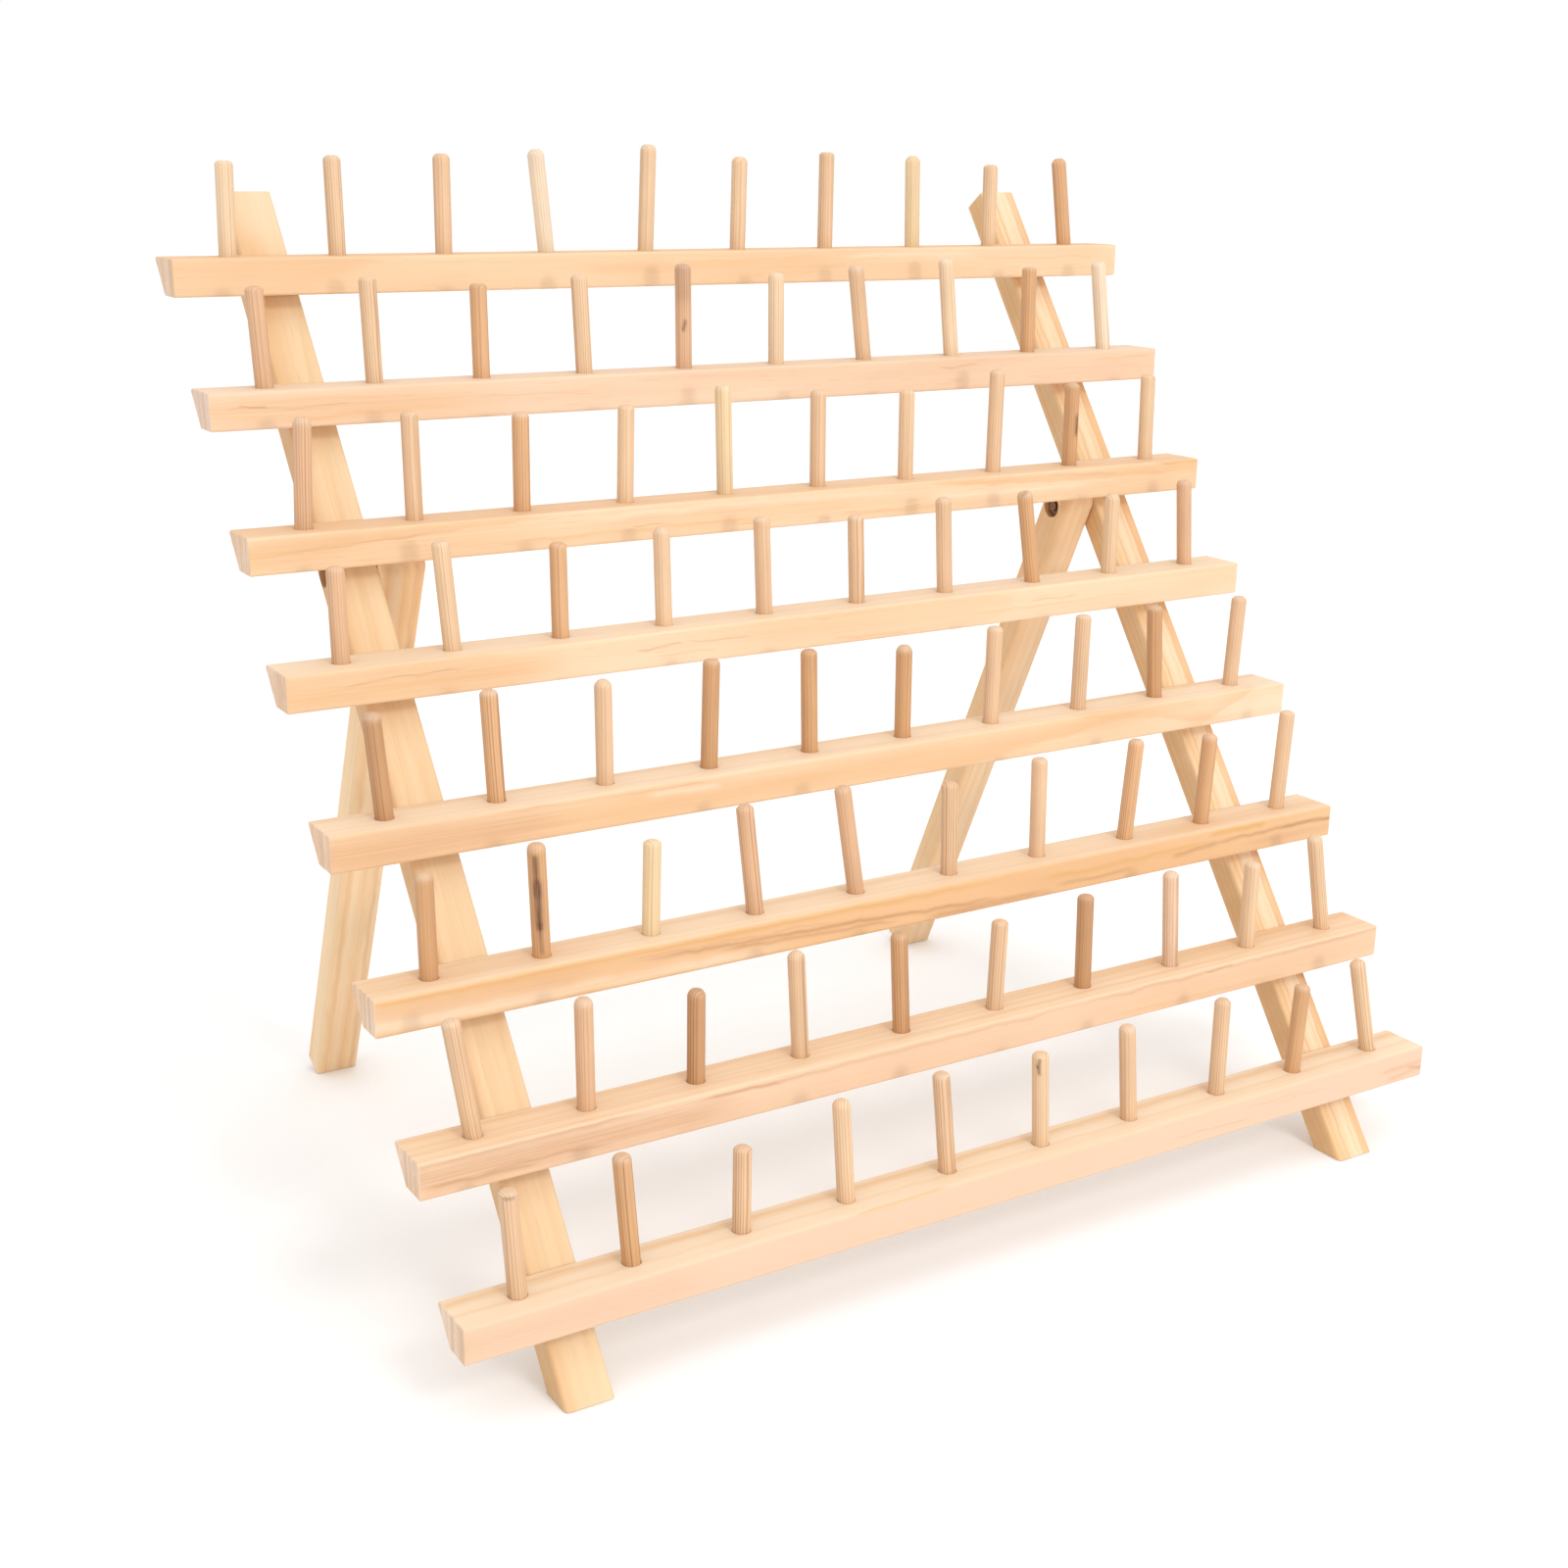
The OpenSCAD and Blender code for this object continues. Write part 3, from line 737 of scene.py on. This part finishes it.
# Strokes on a rail: from x to x, depth down the front at each (minus is back over the top), bend, fade above
# and below, strength, tone
railStrokes = {
    1: [
        (-195, -60, 1.2, 2.4, 0.6, 0.35, 0.35, 0.4, "orange"),
        (-60, 60, 4.2, 2.0, 0.8, 0.5, 3.5, 0.5, "orange"),
        (60, 130, 3.2, 3.0, -0.8, 0.8, 0.8, 0.6, "pale"),
        (120, 195, 4.0, 4.6, 0.3, 0.35, 0.5, 0.45, "orange"),
        (150, 190, 9.5, 9.0, 0, 0.3, 0.3, 0.35, "orange"),
    ],
    2: [
        # painted shade: this broad stroke darkens the whole front towards the left end, standing in for light
        # that falls off there
        (-300, -90, 6.0, 6.0, 0, 5.0, 7.0, 0.65, "orange"),
        (-200, -150, 5.2, 5.6, 0.2, 0.4, 0.4, 0.5, "rose"),
        (-192, -181, 4.9, 5.4, 0, 0.25, 0.25, 0.6, "brown"),
        (-178, -128, 10.2, 8.6, -0.6, 0.6, 0.9, 0.7, "orange"),
        (-200, -120, 3.2, 2.8, 0.3, 0.3, 0.3, 0.4, "orange"),
        (-110, -60, 5.6, 5.2, 0, 0.3, 0.3, 0.3, "rose"),
        (88, 110, 3.6, 3.0, 0.2, 0.35, 0.35, 0.7, "rose"),
        (135, 166, 5.8, 6.6, 0, 0.3, 0.3, 0.4, "orange"),
        (165, 200, 3.4, 2.6, 0, 0.4, 0.5, 0.6, "orange"),
    ],
    3: [
        # painted shade: this broad stroke darkens the whole front towards the left end, standing in for light
        # that falls off there
        (-300, -90, 7.0, 6.0, 0, 5.0, 7.0, 0.55, "orange"),
        (-240, -85, 8.8, 0.4, 0, 4.0, 0.5, 0.6, "orange"),
        (-201, -120, 6.6, 2.2, 0, 0.5, 0.4, 0.5, "rose"),
        (-125, 0, 9.2, 8.2, -0.6, 0.5, 0.8, 0.6, "orange"),
        (-64, -50, 7.0, 7.4, 0, 0.25, 0.3, 0.7, "rose"),
        (-90, 60, 3.5, 3.0, -1.0, 1.2, 1.2, 0.7, "pale"),
        (60, 150, 6.0, 6.5, 0.3, 1.0, 1.0, 0.7, "pale"),
        (50, 230, 0.2, 2.5, 2.6, 3.0, 0.6, 0.75, "orange"),
        (118, 160, 1.4, 3.0, 0.2, 0.4, 0.6, 0.45, "rose"),
        (20, 75, 9.0, 9.6, 0.3, 0.5, 1.2, 0.55, "orange"),
        (176, 215, 0.8, 0.6, 0, 0.9, 0.6, 0.8, "honey"),
    ],
    4: [
        # painted shade: this broad stroke darkens the whole front towards the left end, standing in for light
        # that falls off there
        (-300, -90, 6.0, 6.0, 0, 5.0, 7.0, 0.6, "orange"),
        (-186, -138, 5.3, 4.0, -0.1, 0.3, 0.6, 0.7, "rose"),
        (-240, -110, 9.2, 5.4, 0, 0.6, 2.6, 0.4, "orange"),
        (-78, -58, 5.6, 4.6, 0, 0.3, 0.5, 0.7, "rose"),
        (-58, -30, 5.0, 5.4, 0, 0.3, 0.3, 0.45, "rose"),
        (-70, -44, 8.6, 8.0, 0, 0.3, 0.3, 0.5, "orange"),
        (92, 118, 5.4, 5.0, 0, 0.3, 0.3, 0.55, "rose"),
        (60, 160, 7.4, 6.6, 0.3, 0.4, 0.4, 0.35, "orange"),
        (0, 40, 10.4, 10.8, 0, 0.5, 0.8, 0.5, "orange"),
    ],
    5: [
        (-300, 80, 6.5, 6.5, 0, 5.0, 6.0, 0.55, "orange"),
        # painted shade: this broad stroke darkens the whole front towards the left end, standing in for light
        # that falls off there
        (-260, -110, 6.0, 6.0, 0, 5.0, 7.0, 0.55, "rose"),
        (-300, 300, -17.0, -16.5, 0, 2.5, 2.0, 0.45, "orange"),
        (-300, 300, -6.0, -7.0, 0.6, 0.5, 0.8, 0.35, "orange"),
        (-92, -60, 3.0, 4.0, 0, 1.2, 1.4, 0.6, "pale"),
        (15, 140, 14.0, 1.0, 0, 5.0, 0.6, 0.5, "orange"),
        (110, 320, 6.0, 6.0, 0, 4.0, 7.0, 0.75, "pale"),
        (90, 168, 0.6, 12.0, -1.5, 4.5, 0.6, 0.55, "orange"),
        (145, 190, 16.0, -2.0, 0, 5.0, 0.6, 0.45, "orange"),
        (-150, -60, 0.9, 2.2, 0, 0.4, 0.5, 0.4, "rose"),
    ],
    6: [
        # painted shade: this broad stroke darkens the whole front towards the left end, standing in for light
        # that falls off there
        (-300, -110, 6.0, 6.0, 0, 4.0, 6.0, 0.35, "rose"),
        (90, 320, -8.0, -7.0, 0, 5.0, 6.0, 0.6, "orange"),
        (-320, -100, -9.0, -9.0, 0, 6.0, 6.0, 0.5, "orange"),
        (-300, 60, -16.5, -15.0, 0, 1.5, 2.0, 0.4, "orange"),
        (-240, 60, 1.4, 2.2, 0, 0.8, 1.3, 0.65, "honey"),
        (-280, -40, 8.0, 11.0, 0, 2.4, 2.0, 0.7, "pale"),
        (-280, 120, 12.2, 12.6, 0, 0.9, 2.0, 0.6, "honey"),
        (-118, 45, 4.6, 9.8, -0.6, 0.7, 0.9, 0.6, "brown"),
        (-85, -5, 6.6, 9.8, 0, 0.6, 0.8, 0.5, "brown"),
        (0, 60, 10.6, 10.4, 0, 1.0, 1.4, 0.5, "brown"),
        (-120, -30, 3.4, 5.0, 0, 0.5, 0.6, 0.5, "rose"),
        (60, 100, 9.0, 8.4, 0.2, 0.7, 1.1, 0.45, "brown"),
        (50, 140, 5.5, 4.0, 0.6, 0.8, 1.6, 0.6, "honey"),
        (116, 142, 7.4, 5.8, 0, 0.8, 1.2, 0.5, "brown"),
        (132, 215, 5.4, 4.6, 0, 0.7, 0.9, 0.5, "brown"),
        (172, 205, 4.2, 4.8, 0, 0.6, 0.7, 0.42, "umber"),
        (134, 168, 1.6, 1.8, 0, 1.0, 1.2, 0.8, "honey"),
        (150, 240, 9.0, 8.0, 0, 1.5, 2.0, 0.5, "rose"),
    ],
    7: [
        # painted shade: this broad stroke darkens the whole front towards the left end, standing in for light
        # that falls off there
        (-260, -80, 4.0, 6.0, 0, 3.0, 6.0, 0.75, "rose"),
        (40, 320, 6.0, 6.0, 0, 4.0, 7.0, 0.35, "orange"),
        (-215, -120, 1.0, 1.0, 0, 0.5, 1.0, 0.4, "brown"),
        (-201, -160, 8.2, 9.4, 0, 0.6, 0.8, 0.45, "brown"),
        (-185, -135, 7.0, 9.0, 0, 0.6, 0.8, 0.35, "brown"),
        (-104, -72, 1.8, 2.8, 0, 0.45, 0.6, 0.55, "brown"),
        (-125, 60, 2.2, 1.6, 0.2, 0.6, 0.8, 0.5, "rose"),
        (-300, 300, -16.0, -17.0, 0, 1.5, 2.2, 0.5, "orange"),
        (-300, 300, -7.0, -5.5, 0.8, 0.6, 0.9, 0.4, "orange"),
        (40, 230, 1.6, 0.8, 0.2, 0.5, 1.0, 0.6, "rose"),
        (110, 126, 1.4, 1.2, 0, 0.3, 0.3, 0.6, "brown"),
        (60, 160, 9.6, 10.4, 0, 0.8, 1.5, 0.45, "orange"),
    ],
    8: [
        (-300, 300, -16.5, -16.0, 0.8, 1.6, 2.2, 0.55, "honey"),
        (-300, 300, -9.0, -8.0, 0.8, 0.7, 1.2, 0.35, "orange"),
        # painted shade: this broad stroke darkens the whole front towards the left end, standing in for light
        # that falls off there
        (-260, -110, 6.0, 6.0, 0, 5.0, 7.0, 0.25, "rose"),
        (-66, -25, 0.2, -0.6, 0, 0.8, 0.9, 0.75, "orange"),
        (70, 112, 7.4, 8.6, 0, 0.3, 0.3, 0.5, "rose"),
        (105, 140, 3.6, 4.0, 0, 0.3, 0.3, 0.4, "rose"),
        (118, 152, 5.6, 5.2, 0, 0.3, 0.3, 0.35, "rose"),
        (176, 212, 6.4, 5.6, 0, 0.9, 1.2, 0.55, "rose"),
        (180, 210, 10.4, 8.6, -0.6, 0.9, 1.4, 0.5, "rose"),
        (192, 208, 7.0, 9.8, 0, 0.5, 0.7, 0.4, "brown"),
    ],
}


def railPine(row, corner):
    board = railBoards[row]
    material, tree, shader = newMaterial(f"railPine{row}")
    place = put(tree, "Mapping", {"Vector": inMillimetres(tree), "Location": -Vector(corner)}).outputs[0]
    grain = growGrain(tree, place, float(row), board, railWoods[board["wood"]], woodShare)
    sides = parts(tree, place)
    down = calc(tree, "SUBTRACT", times(tree, sides[2], -1.0), sides[1])
    patchy = ease(tree, noise(tree, place, railLook["patches"]), *railLook["patchEdge"])
    fore = ease(tree, down, *railLook["foreEdge"])
    tinted = grain["Color"]
    for face, share in (("front", fore), ("top", calc(tree, "SUBTRACT", 1.0, fore))):
        tone, strength = board[face]
        covered = times(tree, share, strength, patchy)
        tinted = blend(tree, covered, tinted, paint(strokeTones[tone]))
    stroked = layStrokes(tree, tinted, place, down, railStrokes[row])
    # a fine check down the sawn end, parallel to the front
    share = railLook["waverShare"]
    waver = calc(tree, "MULTIPLY_ADD", noise(tree, place, railLook["waver"]), share, -share / 2)
    behind = calc(tree, "SUBTRACT", calc(tree, "ADD", sides[1], waver), board["check"])
    checked = ease(tree, calc(tree, "ABSOLUTE", behind), *railLook["checkEdge"])
    late = calc(tree, "MAXIMUM", times(tree, grain["Late"], railLook["endRings"]), checked)
    cut = put(tree, "Attribute", attribute_name="sawn").outputs["Fac"]
    finishPine(tree, shader, place, grain, stroked, late, cut, railLook["endTint"])
    return material


railCount = 8
for row in range(1, railCount + 1):
    mesh, corner = railMesh(row)
    addPiece(f"pine_rail_{row}", mesh, railPine(row, corner), "frame", f"rail_{row}")
print("rails built:", railCount)


# Pegs: a round stick up the leaning axis, closed below in its hole and by a dome above
pegTones = {
    "chalk": "FDE6C8", "pale": "F9DAB4", "straw": "F7DAAC", "wheat": "F5D0A8", "pink": "F6CFAF",
    "tan": "F0C8A0", "rose": "EABC94", "orange": "E8B686", "amber": "E3B07E", "brown": "DBA775",
    "russet": "D09D6E",
}
pegShare = 0.71
pegRows = {
    1: "pale wheat tan chalk wheat wheat tan straw wheat orange",
    2: "rose wheat orange wheat rose pale tan pale amber chalk",
    3: "rose tan orange wheat straw tan wheat tan brown wheat",
    4: "rose wheat orange wheat tan tan tan amber wheat rose",
    5: "russet orange tan brown brown brown tan tan brown tan",
    6: "brown amber straw rose rose tan tan orange amber tan",
    7: "tan rose russet tan brown tan russet pink wheat wheat",
    8: "tan amber tan wheat tan wheat tan tan amber wheat",
}
# Strength of the line grain on the pegs, by row and peg, where it stands out
strongLines = {
    (5, 1): 1.0, (5, 2): 0.9, (7, 1): 0.8, (7, 3): 1.0, (7, 5): 0.9, (8, 2): 1.0, (8, 3): 0.95, (8, 5): 0.8,
    (2, 1): 0.8, (2, 5): 0.8, (3, 1): 0.9, (6, 4): 0.8, (6, 6): 0.9, (3, 7): 0.8,
}
# Marks in the wood, and one of painted shade: row, peg, from (degrees round from the front to the left,
# height) to the same, width, strength
pegMarks = [
    (6, 2, (34, 34), (29, 22), 1.1, 0.85),
    (6, 2, (30, 25), (27, 11), 1.3, 0.95),
    (6, 2, (27, 11), (20, 2), 0.8, 0.60),
    (2, 5, (28, 28), (30, 37), 4.5, 0.30),
    (2, 5, (28, 14.2), (14, 17.2), 0.6, 0.90),
    (3, 9, (-14, 13), (-16, 19.5), 1.0, 0.85),
    # painted shade: a dark edge over the tip's top left, standing in for the shade on that side of the dome
    (4, 8, (60, 35), (15, 36), 0.6, 0.40),
    (6, 4, (-35, 2), (-40, 34), 0.6, 0.30),
    (7, 4, (-10, 0), (-14, 36), 0.9, 0.35),
    (7, 5, (-12, 0), (-16, 34), 0.8, 0.30),
    (8, 1, (-12, 34.6), (45, 34.8), 0.5, 0.50),
    (8, 6, (44, 33.5), (52, 31), 0.5, 0.95),
    (8, 6, (52, 31), (47, 28.7), 0.55, 0.90),
]


# What each point of a peg carries for the grain
pegFields = {
    "stickPlace": "FLOAT_VECTOR", "stickTone": "FLOAT_COLOR", "stickLines": "FLOAT", "stickMark": "FLOAT",
    "stickTip": "FLOAT",
}


def pegMarkField(row, peg, angle, rise):
    # a bell round the straight line between two spots on the unrolled side
    total = np.zeros_like(rise)
    spot = np.stack((pegShape["radius"] * angle, rise), -1)
    for markRow, markPeg, first, last, width, strength in pegMarks:
        if (markRow, markPeg) == (row, peg):
            ends = np.array([(pegShape["radius"] * math.radians(turn), up) for turn, up in (first, last)])
            line = ends[1] - ends[0]
            share = np.clip((spot - ends[0]) @ line / (line @ line), 0, 1)
            gap = np.linalg.norm(spot - ends[0] - share[..., None] * line, axis=-1)
            total += strength * np.exp(-((gap / width) ** 2))
    return np.clip(total, 0, 1)


def pegRowMesh(row, chance):
    bases, tips = pegAxes(row)
    around, radius = pegShape["around"], pegShape["radius"]
    angle = np.linspace(-math.pi, math.pi, around, endpoint=False)
    points, quads, fans = [], [], []
    carried = {name: [] for name in pegFields}
    count = 0
    for peg, (base, tip) in enumerate(zip(bases, tips), 1):
        axis = (tip - base) / np.linalg.norm(tip - base)
        side = np.cross((0, 1, 0), axis)
        height = np.linalg.norm(tip - base)
        dome = radius * chance.uniform(*pegShape["dome"])
        square = chance.uniform(*pegShape["square"])
        blunt = chance.uniform(*pegShape["blunt"])
        turn = np.linspace(0, math.pi / 2, pegShape["domeSteps"] + 1)[:-1]
        rise = np.concatenate((
            np.linspace(-pegShape["seat"], height - dome, pegShape["steps"]),
            height - dome + dome * np.sin(turn[1:]) ** (2 / square),
        ))
        narrowing = blunt + (1 - blunt) * np.cos(turn[1:]) ** (2 / square)
        width = np.concatenate((np.full(pegShape["steps"], radius), radius * narrowing))
        lobes = np.ones(around)
        for waves, deep in pegShape["lobes"]:
            lobes = lobes + deep * np.sin(waves * angle + chance.uniform(*pegShape["lobeTurn"]))
        out = -np.cos(angle)[:, None] * np.array((0, 1, 0)) - np.sin(angle)[:, None] * side
        ring = base + rise[:, None, None] * axis + (width[:, None] * lobes)[..., None] * out
        ends = np.stack((base - pegShape["seat"] * axis, tip))
        points.append(np.concatenate((ring.reshape(-1, 3), ends)))
        size = ring.size // 3
        quads.append(gridFaces(len(rise), around, count, wrap=True))
        fans.append(fanFaces(count + np.arange(around), count + size))
        fans.append(fanFaces(count + size - around + np.arange(around), count + size + 1))
        count += size + 2
        # the stick's own place: turned so that its layers face some way, and moved off to wood of its own
        spin = math.radians(chance.uniform(*pegShape["layers"]))
        flat = width[:, None] * np.stack((np.cos(angle + spin), np.sin(angle + spin)))[:, None, :]
        local = np.stack((flat[0], flat[1], np.broadcast_to(rise[:, None], flat[0].shape)), -1).reshape(-1, 3)
        away = chance.uniform(*pegShape["ownWood"], 3)
        poles = [(0, 0, -pegShape["seat"]), (0, 0, height)]
        carried["stickPlace"].append(np.concatenate((local, poles)) + away)
        tone = paint(pegTones[pegRows[row].split()[peg - 1]], pegShare)
        carried["stickTone"].append(np.tile(tone, (size + 2, 1)))
        usual = chance.uniform(*pegShape["lines"])
        carried["stickLines"].append(np.full(size + 2, strongLines.get((row, peg), usual)))
        spots = pegMarkField(row, peg, *np.broadcast_arrays(angle[None, :], rise[:, None])).ravel()
        carried["stickMark"].append(np.append(spots, (0, spots[-around:].mean())))
        # the pale tip, part dust and part painted highlight, fades in towards the top of the dome
        near = (rise - height + dome + pegShape["dustAndHighlightStart"]) / pegShape["dustAndHighlightFade"]
        fade = np.clip(near, 0, 1) * chance.uniform(*pegShape["dust"])
        carried["stickTip"].append(np.append(np.repeat(fade, around), (0, fade[-1])))
    mesh = bpy.data.meshes.new(f"dowel_row_{row}")
    faces = np.concatenate(quads).tolist() + np.concatenate(fans).tolist()
    mesh.from_pydata(np.concatenate(points) * mm, [], faces)
    for name, kind in pegFields.items():
        keepAttribute(mesh, name, kind, np.concatenate(carried[name]))
    turnOutwards(mesh)
    return mesh


def dowelWood():
    material, tree, shader = newMaterial("dowelWood")
    read = {name: put(tree, "Attribute", attribute_name=name).outputs for name in pegFields}
    grain = useGroup(tree, dowelGrain, {
        "Place": read["stickPlace"]["Vector"], "Tone": read["stickTone"]["Color"],
        "Lines": read["stickLines"]["Fac"],
        "Mark": read["stickMark"]["Fac"], "Ink": paint(dowelLook["ink"], pegShare),
        "Tip": read["stickTip"]["Fac"], "Dust": paint(dowelLook["dust"], pegShare),
    })
    wireShader(tree, shader, grain["Color"], grain["Roughness"], grain["Height"], dowelLook["relief"])
    return material


pegWood = dowelWood()
pegChance = np.random.default_rng(pegShape["seed"])
for row in range(1, railCount + 1):
    addPiece(f"dowel_row_{row}", pegRowMesh(row, pegChance), pegWood, "frame", f"peg_row_{row}")
print("peg rows built:", railCount)


# Uprights and legs keep their solids: pine laid along each stick, its sawn ends darker
stickBoards = {
    "left_upright": {
        "lean": 36.0, "pith": (0, 30, 62), "drift": (0, 0.010, 0.020), "ring": 5.0, "wander": 3.0,
        "contrast": 0.35, "seed": 21.0, "share": 0.75,
    },
    "right_upright": {
        "lean": 36.0, "pith": (0, -6, 40), "drift": (0, 0.012, 0.015), "ring": 4.2, "wander": 2.6,
        "contrast": 0.55, "seed": 22.0, "share": 0.80,
    },
    # the legs take a higher share than the uprights: painted light, lifting faces that turn down and away
    # from the lamps
    "left_rear_leg": {
        "lean": -25.5, "pith": (0, 40, 20), "drift": (0, 0.014, 0.010), "ring": 4.6, "wander": 2.0,
        "contrast": 0.35, "seed": 23.0, "share": 0.87,
    },
    "right_rear_leg": {
        "lean": -25.5, "pith": (0, -35, 30), "drift": (0, 0.012, 0.012), "ring": 4.8, "wander": 2.4,
        "contrast": 0.45, "seed": 24.0, "share": 0.88,
    },
}
stickTint = {
    "pale": "FADAAE",
    "warm": "F6CC9B",
    "band": "E9B87E",
    "end": (0.92, 0.88, 0.86, 1),
    "endTurn": (0.6, 0.78),
}
# Strokes on a stick: from one length to another, sideways place at each, then as on the rails
stickStrokes = {
    "left_upright": [
        (-300, 300, -9.2, -9.2, 0, 3.0, 1.1, 0.75, "honey"),
        (-300, 300, -7.4, -7.4, 0, 1.0, 1.6, 0.45, "orange"),
        (-40, 130, 3.0, -2.0, 1.0, 1.5, 2.5, 0.4, "orange"),
        (100, 260, -4.0, 2.0, 0, 3.0, 3.0, 0.4, "orange"),
        (-220, -60, 4.0, 5.5, 0, 1.5, 2.0, 0.35, "orange"),
        (185, 270, 0, 0, 0, 7.0, 7.0, 0.55, "pale"),
    ],
    "right_upright": [
        # painted shade: a honey band darkens the side face that turns inwards, standing in for the shade on
        # it
        (-300, 300, -9.2, -9.2, 0, 3.0, 1.2, 0.62, "honey"),
        (-300, 300, -6.4, -6.0, 0, 1.2, 1.2, 0.8, "orange"),
        (-300, 300, 6.6, 6.9, 0, 1.6, 2.4, 0.75, "orange"),
        (-300, 300, 0.6, -0.6, 0, 1.6, 1.6, 0.8, "pale"),
        (-300, 300, 3.4, 2.6, 0, 0.5, 0.6, 0.8, "pale"),
        (-300, 300, -3.6, -3.2, 0, 0.5, 0.8, 0.6, "rose"),
        (-300, 300, 4.6, 4.4, 0, 0.5, 0.8, 0.5, "rose"),
    ],
    "left_rear_leg": [
        (-250, 250, -5.6, -5.0, 0, 1.3, 1.5, 0.55, "orange"),
        (-250, 250, 0.8, 1.6, 0, 1.4, 1.4, 0.5, "orange"),
        (-250, 250, 5.6, 5.0, 0, 0.9, 1.4, 0.45, "rose"),
        (-250, 250, -2.0, -1.6, 0, 1.2, 1.2, 0.5, "pale"),
    ],
    "right_rear_leg": [
        # painted shade: an olive band darkens the inner side face, standing in for the shade on it
        (-250, 250, -9.0, -9.0, 0, 3.0, 1.2, 0.42, "olive"),
        (-250, 250, 1.0, 1.0, 0, 6.0, 9.0, 0.35, "blush"),
        (-200, 200, 4.5, 3.5, 0, 0.6, 1.6, 0.35, "orange"),
    ],
}


def stickPine(node, board):
    # the stick's length becomes X, its width Y and its thickness Z
    lean = math.radians(board["lean"])
    slant, plumb = math.sin(lean), math.cos(lean)
    turn = Matrix(((0, slant, plumb), (1, 0, 0), (0, plumb, -slant))).to_euler()
    low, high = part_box(node)
    middle = Matrix.LocRotScale(None, turn, None) @ ((low + high) / 2 / mm)
    material, tree, shader = newMaterial(f"stickPine_{node}")
    turned = {"Vector": inMillimetres(tree), "Rotation": turn, "Location": -middle}
    place = put(tree, "Mapping", turned).outputs[0]
    normal = {"Vector": put(tree, "TexCoord").outputs["Normal"], "Rotation": turn}
    facing = put(tree, "Mapping", normal, vector_type="VECTOR").outputs[0]
    endward = calc(tree, "ABSOLUTE", parts(tree, facing)[0])
    grain = growGrain(tree, place, board["seed"], board, stickTint, board["share"])
    width = parts(tree, place)[1]
    stroked = layStrokes(tree, grain["Color"], place, width, stickStrokes[node])
    cut = ease(tree, endward, *stickTint["endTurn"])
    finishPine(tree, shader, place, grain, stroked, grain["Late"], cut, stickTint["end"])
    return material


def dress(node, material):
    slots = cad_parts[node].data.materials
    slots.clear()
    slots.append(material)


for node, board in stickBoards.items():
    dress(node, stickPine(node, board))
print("uprights and legs dressed:", len(stickBoards))


# Fasteners: browned steel, finely scratched, duller in spots
steelFinish = {
    "bright": (0.27, 0.14, 0.08, 1),
    "dull": (0.11, 0.055, 0.03, 1),
    "spots": (0.9, 0.9, 0.9),
    "spotEdge": (0.40, 0.70),
    "scratch": (9.0, 1.2, 1.2),
    "roughness": (0.25, 0.45),
    "relief": (0.2, 0.00005),
}


def brownedSteel():
    material, tree, shader = newMaterial("brownedSteel")
    scaled = inMillimetres(tree)
    spots = ease(tree, noise(tree, scaled, steelFinish["spots"], 3.0), *steelFinish["spotEdge"])
    scratch = noise(tree, scaled, steelFinish["scratch"], 2.0)
    color = blend(tree, spots, steelFinish["bright"], steelFinish["dull"])
    roughness = calc(tree, "MULTIPLY_ADD", scratch, *steelFinish["roughness"])
    wireShader(tree, shader, color, roughness, scratch, steelFinish["relief"])
    shader.inputs["Metallic"].default_value = 1.0
    return material


steel = brownedSteel()
kinds = ("rail_screws", "pivot_bolt", "pivot_nut")
fasteners = [f"{hand}_{kind}" for hand in ("left", "right") for kind in kinds]
for node in fasteners:
    dress(node, steel)
print("fasteners dressed:", len(fasteners))


# Floor: a wide pale disc, just under the feet
floorShape = {
    "radius": 9.0,
    "rings": 12,
    "around": 64,
    "drop": 0.0002,
    "mottle": (6.0, 6.0, 6.0),
    "shades": ((0.85, 0.85, 0.85, 1), (0.88, 0.88, 0.88, 1)),
    "roughness": 0.9,
    "sheen": 0.1,
}


def layFloor():
    turn = np.linspace(0, 2 * math.pi, floorShape["around"], endpoint=False)
    reach = np.linspace(0, 1, floorShape["rings"] + 1)[1:] ** 2 * floorShape["radius"]
    points = np.stack((
        reach[:, None] * np.cos(turn), reach[:, None] * np.sin(turn),
        np.full((len(reach), len(turn)), -floorShape["drop"]),
    ), -1).reshape(-1, 3)
    middle = len(points)
    faces = gridFaces(len(reach), len(turn), 0, wrap=True).tolist()
    faces += fanFaces(np.arange(len(turn)), middle).tolist()
    mesh = bpy.data.meshes.new("floor")
    mesh.from_pydata(np.concatenate((points, [(0, 0, -floorShape["drop"])])), [], faces)
    material, tree, shader = newMaterial("paleFloor")
    mottle = noise(tree, put(tree, "TexCoord").outputs["Object"], floorShape["mottle"], 3.0)
    feed(tree, shader.inputs["Base Color"], blend(tree, mottle, *floorShape["shades"]))
    shader.inputs["Roughness"].default_value = floorShape["roughness"]
    shader.inputs["Specular IOR Level"].default_value = floorShape["sheen"]
    mesh.materials.append(material)
    floor = bpy.data.objects.new("floor", mesh)
    scene.collection.objects.link(floor)


layFloor()
print("floor laid")
